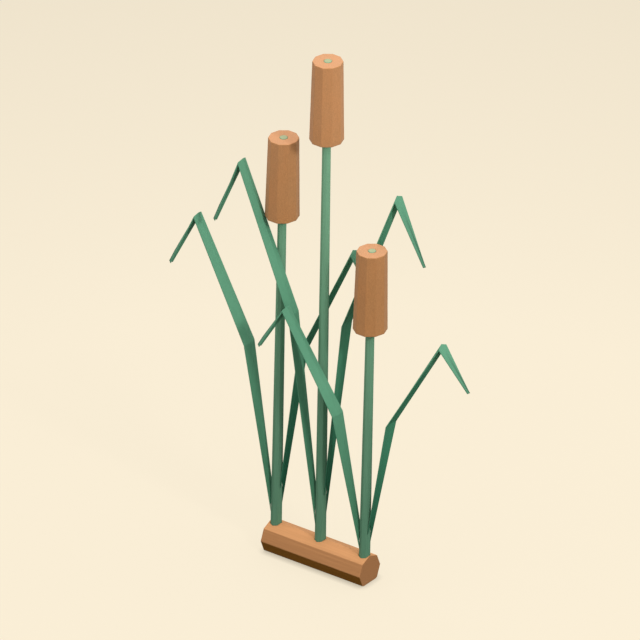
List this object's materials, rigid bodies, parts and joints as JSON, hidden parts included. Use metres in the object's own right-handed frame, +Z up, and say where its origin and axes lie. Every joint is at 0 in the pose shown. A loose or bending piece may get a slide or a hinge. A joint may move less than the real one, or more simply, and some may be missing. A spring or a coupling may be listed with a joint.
{
  "type": "cattail stalk",
  "caption": "Stand of cattail stalks with brown seed heads and bent green leaves, planted in a row in a short eight-sided log.",
  "frame": {"origin": "middle of the planed face under the log, which the object stands on", "axes": "+Z up along the stalks, +X along the log towards the short stalk"},
  "size_m": [0.2909, 0.0692, 0.5014],
  "materials": {
    "bark": "matte",
    "stem_green": "satin",
    "leaf_green": "satin",
    "seed_brown": "matte"
  },
  "bodies": {
    "root": {"log": "bark", "left_stem": "stem_green", "left_seed_head": "seed_brown", "left_stalk_left_leaf": "leaf_green", "left_stalk_right_leaf": "leaf_green", "middle_stem": "stem_green", "middle_seed_head": "seed_brown", "middle_stalk_left_leaf": "leaf_green", "middle_stalk_right_leaf": "leaf_green", "right_stem": "stem_green", "right_seed_head": "seed_brown", "right_stalk_left_leaf": "leaf_green", "right_stalk_right_leaf": "leaf_green"}
  },
  "joints": []
}
